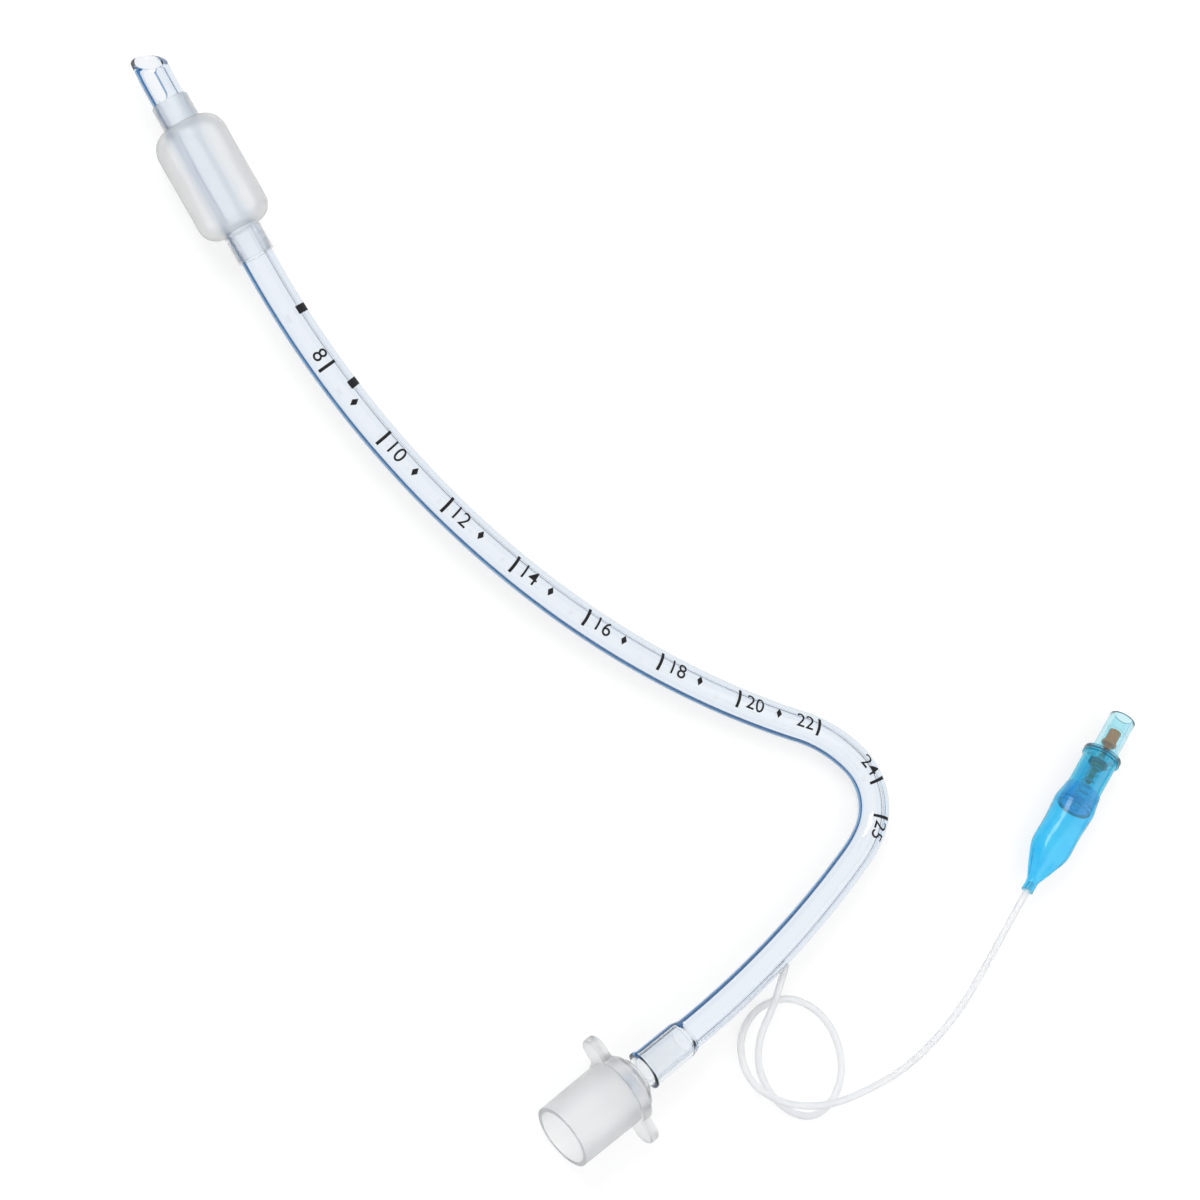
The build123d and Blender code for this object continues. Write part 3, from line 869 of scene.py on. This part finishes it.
def flat_number(text):
    """Filled number in the plain built-in face, centred on its own middle."""
    data = bpy.data.curves.new("number", "FONT")
    data.body = text
    data.size = NUMBER_HEIGHT
    data.align_x = "CENTER"
    data.align_y = "CENTER"
    data.offset = NUMBER_WEIGHT
    data.space_character = NUMBER_SPACING
    holder = bpy.data.objects.new("number", data)
    scene.collection.objects.link(holder)
    bpy.context.view_layer.update()
    mesh = bpy.data.meshes.new_from_object(holder.evaluated_get(bpy.context.evaluated_depsgraph_get()))
    bpy.data.objects.remove(holder)
    return mesh


# %% Ink on the tube
def rolled(mesh, station, angle):
    """Flat mark rolled on the tube, as two layers of points and their triangles. What lies along
    the mark stays along the tube, and what lies across it is an angle times the tube's radius. The
    check after the cuts drops the few triangles of a number that lie double."""
    work = bmesh.new()
    work.from_mesh(mesh)
    bmesh.ops.remove_doubles(work, verts=work.verts, dist=1e-5)
    for _ in range(CUT_ROUNDS):
        bmesh.ops.triangulate(work, faces=work.faces)
        long_edges = [e for e in work.edges if e.calc_length() > LONGEST_EDGE]
        bmesh.ops.subdivide_edges(work, edges=long_edges, cuts=1)
    bmesh.ops.triangulate(work, faces=work.faces)
    work.to_mesh(mesh)
    work.free()
    mesh.validate()
    flat = np.empty(len(mesh.vertices) * 3)
    mesh.vertices.foreach_get("co", flat)
    flat = flat.reshape(-1, 3)
    faces = np.array([tuple(p.vertices) for p in mesh.polygons])
    turned_to = angle - flat[:, 1] / TUBE_R
    layers = []
    for lift in (INK_LIFT + INK_THICKNESS, -INK_THICKNESS):
        left, up = (TUBE_R + lift) * np.cos(turned_to), (TUBE_R + lift) * np.sin(turned_to)
        layers.append(beside_axis(station + flat[:, 0], left, up))
    return layers, faces


def inked(layers, faces):
    """Two layers of the same triangles, joined along their open edges, as one closed shell."""
    count = len(layers[0])
    ways = np.concatenate([faces[:, [0, 1]], faces[:, [1, 2]], faces[:, [2, 0]]])
    edges = np.sort(ways, 1)
    _, index, uses = np.unique(edges, axis=0, return_index=True, return_counts=True)
    rim = ways[index[uses == 1]]
    walls = np.concatenate(
        [
            np.c_[rim[:, 1], rim[:, 0], rim[:, 0] + count],
            np.c_[rim[:, 1], rim[:, 0] + count, rim[:, 1] + count],
        ]
    )
    return np.concatenate(layers), np.concatenate([faces, faces[:, ::-1] + count, walls])


def print_angle(station):
    """Angle of the print round the tube: it turns from the right of the top towards the left."""
    return radians(float(np.interp(station, PRINT_STATIONS, PRINT_ANGLES)))


def box(half_width, half_height):
    """Corners of a rectangle about its middle."""
    signs = [(-1, -1), (1, -1), (1, 1), (-1, 1)]
    return [(x * half_width, y * half_height) for x, y in signs]


# %% Marks rolled on the tube
marks = []
kite = [(-KITE_HALF_WIDTH, 0), (0, -KITE_HALF), (KITE_HALF_WIDTH, 0), (0, KITE_HALF)]
for station in bar_stations:
    marks.append(inked(*rolled(flat_shape(box(BAR_WIDTH / 2, BAR_HALF)), station, print_angle(station))))
for station in diamond_stations:
    marks.append(inked(*rolled(flat_shape(kite), station, print_angle(station))))
for text, station in number_stations.items():
    marks.append(inked(*rolled(flat_number(text), station, print_angle(station))))
for station in band_stations:
    marks.append(inked(*rolled(flat_shape(box(BAND_HALF_WIDTH, BAND_HALF)), station, BAND_ANGLE)))
depth_marks = make_piece("printed_depth_marks", marks, sharp=60)

# %% [markdown]
# ## Materials
# Each material is one of the plastics, metals or inks that the real object is made of. Colours are
# written as sRGB and turned into linear light by one function, and pattern sizes are in millimetres.

# %% Material helpers
def linear(code):
    """sRGB hex to linear light: ((c + 0.055) / 1.055)^2.4 above 0.04045, and c / 12.92 below it."""
    c = np.array([int(code[k : k + 2], 16) for k in (0, 2, 4)]) / 255
    light = np.where(c > 0.04045, ((c + 0.055) / 1.055) ** 2.4, c / 12.92)
    return (*light.tolist(), 1.0)


def add(tree, kind, values=None, **links):
    """One node of that kind: values go on sockets or settings, and links join outputs to its inputs."""
    node = tree.nodes.new(kind)
    for key, value in (values or {}).items():
        if key in node.inputs:
            node.inputs[key].default_value = value
        else:
            setattr(node, key, value)
    for key, output in links.items():
        tree.links.new(output, node.inputs[key.replace("_", " ")])
    return node


def plastic(name, **values):
    """New material with one Principled shader, whose sockets are given as words."""
    made = bpy.data.materials.new(name)
    made.use_nodes = True
    tree = made.node_tree
    shader = tree.nodes["Principled BSDF"]
    for key, value in values.items():
        shader.inputs[key.replace("_", " ")].default_value = value
    return made, tree, shader


def grain(tree, size, detail=2.0):
    """Noise in the piece's own place, with features of that size in mm."""
    place = add(tree, "ShaderNodeTexCoord").outputs["Object"]
    noise = add(tree, "ShaderNodeTexNoise", {"Scale": 1 / (size * MM), "Detail": detail}, Vector=place)
    return noise.outputs["Fac"]


def roughen(tree, shader, height, depth, strength=1.0):
    """Bump from a height, whose full swing is a depth in mm."""
    bump = add(tree, "ShaderNodeBump", {"Distance": depth * MM, "Strength": strength}, Height=height)
    tree.links.new(bump.outputs["Normal"], shader.inputs["Normal"])


def between(tree, fac, low, high):
    """A value that runs from low to high as the factor runs from 0 to 1."""
    return add(tree, "ShaderNodeMapRange", {"To Min": low, "To Max": high}, Value=fac).outputs["Result"]


def tints(tree, fac, stops):
    """Colour ramp over a factor, with its stops as places and sRGB codes."""
    ramp = add(tree, "ShaderNodeValToRGB", Fac=fac)
    while len(ramp.color_ramp.elements) < len(stops):
        ramp.color_ramp.elements.new(0.5)
    for element, (place, code) in zip(ramp.color_ramp.elements, stops):
        element.position = place
        element.color = linear(code)
    return ramp.outputs["Color"]


def absorb(tree, code, density):
    """Light is lost on its way through the plastic: what is left is e to the power of minus the
    density, times one minus the colour, times the length of the way in metres."""
    volume = add(tree, "ShaderNodeVolumeAbsorption", {"Color": linear(code), "Density": density})
    tree.links.new(volume.outputs["Volume"], tree.nodes["Material Output"].inputs["Volume"])


def dress(material, *wearers):
    """Puts one material on pieces or on a CAD node, in place of what they had."""
    for piece in wearers:
        piece.data.materials.clear()
        piece.data.materials.append(material)
    print(material.name, "on", ", ".join(piece.name for piece in wearers))


# %% [markdown]
# Clear PVC has a refractive index of 1.53 and a faint blue tint. The tint belongs inside the plastic:
# light that runs along a wall, as at the tube's edges, loses more than light that goes straight
# through, so the edges come out bluer with no colour painted there. Fine die lines from extrusion run
# along the outside.

# %% Clear PVC
tube_pvc, tree, shader = plastic(
    "clear_soft_pvc", Base_Color=linear("FEFEFF"), IOR=1.53, Transmission_Weight=1.0
)
absorb(tree, "70B2D4", 105.0)
surface = add(tree, "ShaderNodeTexCoord").outputs["UV"]
lines = add(tree, "ShaderNodeMapping", {"Scale": (70, 1.5, 1)}, Vector=surface).outputs["Vector"]
die_lines = add(tree, "ShaderNodeTexNoise", {"Scale": 1.0, "Detail": 3.0}, Vector=lines).outputs["Fac"]
roughen(tree, shader, die_lines, 0.003, 0.35)
tree.links.new(between(tree, grain(tree, 9.0), 0.0, 0.012), shader.inputs["Roughness"])
dress(tube_pvc, clear_tube)

# %% [markdown]
# The eye is punched with a blunt tool, which leaves the cut edge matt and cloudy. Its faces are painted blue
# as painted shade for the fine outline that the eye shows through the clear wall, so they get their own
# finish.

# %% Punched edge of the eye
punched_edge, tree, shader = plastic("punched_pvc_edge", Roughness=0.5, IOR=1.53, Transmission_Weight=0.3)
# The blue on the cut faces is painted shade for the eye's outline; only the matt roughness is the edge's
# own.
painted_outline_shade = tints(tree, grain(tree, 0.4, 3.0), [(0.25, "6F9FD8"), (0.75, "8DB6E6")])
tree.links.new(painted_outline_shade, shader.inputs["Base Color"])
clear_tube.data.materials.append(punched_edge)
for face in punched_faces:
    clear_tube.data.polygons[face].material_index = 1

# %% [markdown]
# The X-ray line is the same PVC filled with barium sulphate and blue pigment, so it is opaque and even,
# with a little more pigment in some places than in others. Its outer face is painted paler than its
# edges, as a painted highlight for the light that it catches through the clear wall: the UVs count the 24
# columns round the strip, that face runs from column 5 to column 6, and a ramp over them finds it.

# %% Filled blue PVC
xray_blue, tree, shader = plastic("barium_filled_pvc", Roughness=0.38, Specular_IOR_Level=0.0)
across = add(tree, "ShaderNodeSeparateXYZ", Vector=add(tree, "ShaderNodeTexCoord").outputs["UV"])
EDGE_BLUE, HIGHLIGHT_BLUE = "1FA4F0", "C8ECFF"
# The pale stops paint a highlight on the outer face; the edge blue is the colour of the rest of the strip.
highlight_stops = [(0.208, EDGE_BLUE), (0.213, HIGHLIGHT_BLUE), (0.245, HIGHLIGHT_BLUE), (0.25, EDGE_BLUE)]
face = tints(tree, across.outputs["X"], highlight_stops)
pigment = tints(tree, grain(tree, 1.6, 4.0), [(0.3, "E2E6EE"), (0.7, "FFFFFF")])
blend = add(tree, "ShaderNodeMix", {"data_type": "RGBA", "blend_type": "MULTIPLY"})
blend.inputs[0].default_value = 1.0
# Sockets 6 and 7 of a colour mix are its two colours, and output 2 is its result
tree.links.new(face, blend.inputs[6])
tree.links.new(pigment, blend.inputs[7])
tree.links.new(blend.outputs[2], shader.inputs["Base Color"])
roughen(tree, shader, grain(tree, 0.25), 0.01, 0.5)
dress(xray_blue, blue_line)

# %% [markdown]
# The cuff is a thin film with a matt surface. It scatters most of the light that comes through, but
# part of it goes straight on between the grains of the texture, so the tube inside stays in sight. That
# part is the alpha. The film is rough outside, and smoother inside and on the bonded collars, so the
# roughness follows the outline, which the UVs count from the front collar round to the inside.

# %% Frosted film
cuff_film, tree, shader = plastic("frosted_cuff_film", IOR=1.42, Transmission_Weight=1.0, Alpha=0.65)
haze = tints(tree, grain(tree, 6.0, 3.0), [(0.25, "FCFEFF"), (0.75, "FFFFFF")])
tree.links.new(haze, shader.inputs["Base Color"])
surface = add(tree, "ShaderNodeTexCoord").outputs["UV"]
height = add(tree, "ShaderNodeSeparateXYZ", Vector=surface).outputs["Y"]
SMOOTH, MATT = "606060", "BCBCBC"
matt = tints(tree, height, [(0.0, SMOOTH), (0.045, MATT), (0.47, MATT), (0.5, SMOOTH), (1.0, SMOOTH)])
tree.links.new(matt, shader.inputs["Roughness"])
roughen(tree, shader, grain(tree, 0.35, 4.0), 0.012, 0.5)
dress(cuff_film, frosted_cuff)

# %% [markdown]
# The connector is moulded in natural polypropylene. That plastic is milky: it lets most light through
# but spreads it, so its edges glow and its shade is soft. The stem sits tight inside the tube, where no
# air scatters the light, so it looks clearer from there on: the finish runs over along the axis.

# %% Milky polypropylene
connector_pp, tree, shader = plastic("natural_polypropylene", IOR=1.49)
milk = tints(tree, grain(tree, 5.0), [(0.2, "FAFCFD"), (0.8, "FFFFFF")])
tree.links.new(milk, shader.inputs["Base Color"])
mouth = lying(*axis_at(TUBE_END)[0], 0.0)
out_of_mouth = mouth - lying(*axis_at(TUBE_END - 1)[0], 0.0)
out_of_mouth /= np.linalg.norm(out_of_mouth)
STEM_FROM = 20.5  # behind the mouth
STEM_FULL = 23.0
place = add(tree, "ShaderNodeTexCoord").outputs["Object"]
depth = add(tree, "ShaderNodeVectorMath", {"operation": "DOT_PRODUCT"})
tree.links.new(place, depth.inputs[0])
depth.inputs[1].default_value = tuple(out_of_mouth)
at_mouth = float(mouth @ out_of_mouth)
on_stem = add(
    tree,
    "ShaderNodeMapRange",
    {"From Min": at_mouth - STEM_FROM * MM, "From Max": at_mouth - STEM_FULL * MM},
    Value=depth.outputs["Value"],
).outputs["Result"]
tree.links.new(between(tree, on_stem, 0.9, 0.97), shader.inputs["Transmission Weight"])
tree.links.new(between(tree, on_stem, 0.34, 0.08), shader.inputs["Roughness"])
roughen(tree, shader, grain(tree, 0.5, 3.0), 0.006, 0.4)
dress(connector_pp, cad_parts["connector"])

# %% [markdown]
# The line is thin PVC tube. Its small bore scatters light, so it looks whitish rather than clear.

# %% Line
line_pvc, tree, shader = plastic("whitish_line_pvc", Roughness=0.45, IOR=1.5, Transmission_Weight=0.6)
cloud = tints(tree, grain(tree, 3.0, 3.0), [(0.3, "FAFCFF"), (0.7, "FFFFFF")])
tree.links.new(cloud, shader.inputs["Base Color"])
roughen(tree, shader, grain(tree, 0.8), 0.004, 0.4)
dress(line_pvc, inflation_line)

# %% [markdown]
# The pilot balloon and the valve's body are pigmented, clear plastics. Their colour is partly at the
# surface and partly in depth, so that thick places such as the valve's floor come out deeper.

# %% Blue film
pilot_film, tree, shader = plastic("blue_pilot_film", Roughness=0.1, IOR=1.45, Transmission_Weight=0.95)
blue = tints(tree, grain(tree, 5.0, 3.0), [(0.25, "6ADFFF"), (0.75, "88EAFF")])
tree.links.new(blue, shader.inputs["Base Color"])
absorb(tree, "2FC0F4", 120.0)
CREASES_PER_METRE = 260.0
place = add(tree, "ShaderNodeTexCoord").outputs["Object"]
creases = add(tree, "ShaderNodeMapping", {"Scale": (0.9, 0.9, 3.0)}, Vector=place).outputs["Vector"]
crease_size = {"Scale": CREASES_PER_METRE, "Detail": 2.0}
crease = add(tree, "ShaderNodeTexNoise", crease_size, Vector=creases).outputs["Fac"]
roughen(tree, shader, crease, 0.25, 0.5)
dress(pilot_film, blue_balloon)

# %% Blue and cyan mouldings
valve_blue, tree, shader = plastic(
    "blue_clear_polycarbonate", Roughness=0.1, IOR=1.58, Transmission_Weight=0.9
)
body_blue = tints(tree, grain(tree, 6.0), [(0.2, "34D2F2"), (0.8, "4ADCF6")])
tree.links.new(body_blue, shader.inputs["Base Color"])
absorb(tree, "28D4F2", 90.0)
roughen(tree, shader, grain(tree, 1.2), 0.02, 0.3)
dress(valve_blue, valve_body)

valve_clear, tree, shader = plastic(
    "pale_cyan_polycarbonate", Roughness=0.08, IOR=1.58, Transmission_Weight=0.98
)
top_cyan = tints(tree, grain(tree, 6.0), [(0.2, "CCF3F9"), (0.8, "DAF8FC")])
tree.links.new(top_cyan, shader.inputs["Base Color"])
absorb(tree, "4CCFE4", 60.0)
roughen(tree, shader, grain(tree, 1.2), 0.02, 0.3)
dress(valve_clear, valve_top)

# %% [markdown]
# The plunger is an orange moulding, with fine ribs that give a tool a grip. The ribs are a wave round
# its axis, so they are drawn in the UVs, where one share is one turn. The seal is dull silicone, the
# spring is bright wire with faint draw marks, and the ink is a thin, matt black.

# %% Orange plunger
plunger_orange, tree, shader = plastic("orange_acetal", Roughness=0.35, IOR=1.48)
tone = tints(tree, grain(tree, 1.5, 3.0), [(0.25, "FF7828"), (0.75, "FF9448")])
tree.links.new(tone, shader.inputs["Base Color"])
surface = add(tree, "ShaderNodeTexCoord").outputs["UV"]
ribs = add(
    tree, "ShaderNodeTexWave", {"Scale": 4.0, "bands_direction": "X", "wave_profile": "SIN"}, Vector=surface
).outputs["Fac"]
roughen(tree, shader, ribs, 0.08, 0.8)
dress(plunger_orange, orange_plunger)

# %% Seal and spring
seal_rubber, tree, shader = plastic("grey_silicone", Roughness=0.6, IOR=1.42)
rubber = tints(tree, grain(tree, 0.8, 3.0), [(0.3, "3B4246"), (0.7, "50585C")])
tree.links.new(rubber, shader.inputs["Base Color"])
roughen(tree, shader, grain(tree, 0.2), 0.02, 0.5)
dress(seal_rubber, rubber_seal)

spring_steel, tree, shader = plastic("stainless_spring_wire", Metallic=1.0, Roughness=0.25)
steel = tints(tree, grain(tree, 0.7, 3.0), [(0.3, "A9AFB4"), (0.7, "C9CED2")])
tree.links.new(steel, shader.inputs["Base Color"])
tree.links.new(between(tree, grain(tree, 0.15), 0.18, 0.34), shader.inputs["Roughness"])
dress(spring_steel, steel_spring)

# %% Ink
print_ink, tree, shader = plastic("black_print_ink", Roughness=0.6, IOR=1.5, Specular_IOR_Level=0.2)
ink = tints(tree, grain(tree, 0.5, 4.0), [(0.25, "0E0E10"), (0.8, "26262A")])
tree.links.new(ink, shader.inputs["Base Color"])
roughen(tree, shader, grain(tree, 0.12), 0.01, 0.6)
dress(print_ink, depth_marks)

# %% [markdown]
# ## Light and floor
# The picture is a soft studio one on pure white. The world gives even light, and two large lamps give
# it a direction. What the camera sees of the world and the floor is plain white, while the light on the
# object stays at its own level. Reflections and clear pieces see the same white, with a blue band low
# over the horizon, like a studio's far walls: clear plastic bends only its edges towards that band, so
# its edges come out blue.

# %% World
WORLD_LIGHT = 0.72
HORIZON = "5E98E0"
HORIZON_TOP = 0.3  # sine of the angle over the horizon at which the band has faded to white
WHITE = (1, 1, 1, 1)
world = bpy.data.worlds.new("studio")
scene.world = world
world.use_nodes = True
tree = world.node_tree


def seen_directly(tree):
    """The greatest of three marks: 1 for camera, glossy and transmission rays, else 0."""
    path = add(tree, "ShaderNodeLightPath").outputs
    two = add(tree, "ShaderNodeMath", {"operation": "MAXIMUM"})
    tree.links.new(path["Is Camera Ray"], two.inputs[0])
    tree.links.new(path["Is Glossy Ray"], two.inputs[1])
    three = add(tree, "ShaderNodeMath", {"operation": "MAXIMUM"})
    tree.links.new(two.outputs[0], three.inputs[0])
    tree.links.new(path["Is Transmission Ray"], three.inputs[1])
    return three.outputs[0]


up = add(tree, "ShaderNodeSeparateXYZ", Vector=add(tree, "ShaderNodeTexCoord").outputs["Generated"])
studio = tints(tree, up.outputs["Z"], [(0.0, HORIZON), (HORIZON_TOP, "FFFFFF")])
seen = add(tree, "ShaderNodeMix", {"data_type": "RGBA"})
tree.links.new(add(tree, "ShaderNodeLightPath").outputs["Is Camera Ray"], seen.inputs[0])
tree.links.new(studio, seen.inputs[6])
seen.inputs[7].default_value = WHITE
light = add(tree, "ShaderNodeMix", {"data_type": "RGBA"})
tree.links.new(seen_directly(tree), light.inputs[0])
light.inputs[6].default_value = (WORLD_LIGHT, WORLD_LIGHT, WORLD_LIGHT, 1)
tree.links.new(seen.outputs[2], light.inputs[7])
sky = tree.nodes["Background"]
sky.inputs["Strength"].default_value = 1.0
tree.links.new(light.outputs[2], sky.inputs["Color"])
print("world light:", WORLD_LIGHT)

# %% Lamps
LAMP_TARGET = (0.02, 0.0, 0.0)  # metres, the middle of the object


def soft_lamp(name, place, side, watts):
    """Square lamp, its place and side in metres, aimed at the object. Clear pieces don't see it, so
    that no bright speck comes through them."""
    data = bpy.data.lights.new(name, "AREA")
    data.shape = "SQUARE"
    data.size = side
    data.energy = watts
    lamp = bpy.data.objects.new(name, data)
    scene.collection.objects.link(lamp)
    lamp.location = place
    aim = Vector(LAMP_TARGET) - Vector(place)
    lamp.rotation_euler = aim.to_track_quat("-Z", "Y").to_euler()
    lamp.visible_transmission = False
    print(name, "of", watts, "W")


soft_lamp("key_lamp", (-0.7, 0.8, 1.1), 0.7, 8.5)
soft_lamp("fill_lamp", (0.9, -0.4, 0.9), 1.0, 2.6)

# %% [markdown]
# The floor is white paper. Other pieces see it as plain paper, reflections and clear pieces see it as
# white, and the camera sees a thin veil of paper over a glow, which keeps the object's shadow soft.

# %% Floor
FLOOR_HALF = 3.0  # metres
PAPER = 0.8
VEIL = 0.32
GLOW = 0.73
floor_mesh = bpy.data.meshes.new("floor")
floor_mesh.from_pydata([(x, y, 0) for x, y in box(FLOOR_HALF, FLOOR_HALF)], [], [(0, 1, 2, 3)])
floor = bpy.data.objects.new("floor", floor_mesh)
scene.collection.objects.link(floor)
floor_paper = bpy.data.materials.new("white_paper_floor")
floor_paper.use_nodes = True
tree = floor_paper.node_tree
tree.nodes.remove(tree.nodes["Principled BSDF"])
paper = add(tree, "ShaderNodeBsdfDiffuse", {"Color": (PAPER, PAPER, PAPER, 1)})
veil = add(tree, "ShaderNodeBsdfDiffuse", {"Color": (VEIL, VEIL, VEIL, 1)})
glow = add(tree, "ShaderNodeEmission", {"Color": WHITE, "Strength": GLOW})
white = add(tree, "ShaderNodeEmission", {"Color": WHITE, "Strength": 1.0})
lit = add(tree, "ShaderNodeAddShader")
tree.links.new(veil.outputs[0], lit.inputs[0])
tree.links.new(glow.outputs[0], lit.inputs[1])


def either(factor, low, high):
    """The first shader where the factor is 0, and the second where it is 1."""
    mixed = add(tree, "ShaderNodeMixShader", Fac=factor)
    tree.links.new(low.outputs[0], mixed.inputs[1])
    tree.links.new(high.outputs[0], mixed.inputs[2])
    return mixed


through = either(seen_directly(tree), paper, white)
camera_ray = add(tree, "ShaderNodeLightPath").outputs["Is Camera Ray"]
shown = either(camera_ray, through, lit)
tree.links.new(shown.outputs[0], tree.nodes["Material Output"].inputs["Surface"])
floor_mesh.materials.append(floor_paper)
print("floor side, m:", 2 * FLOOR_HALF)

# %% View
scene.view_settings.view_transform = "Standard"
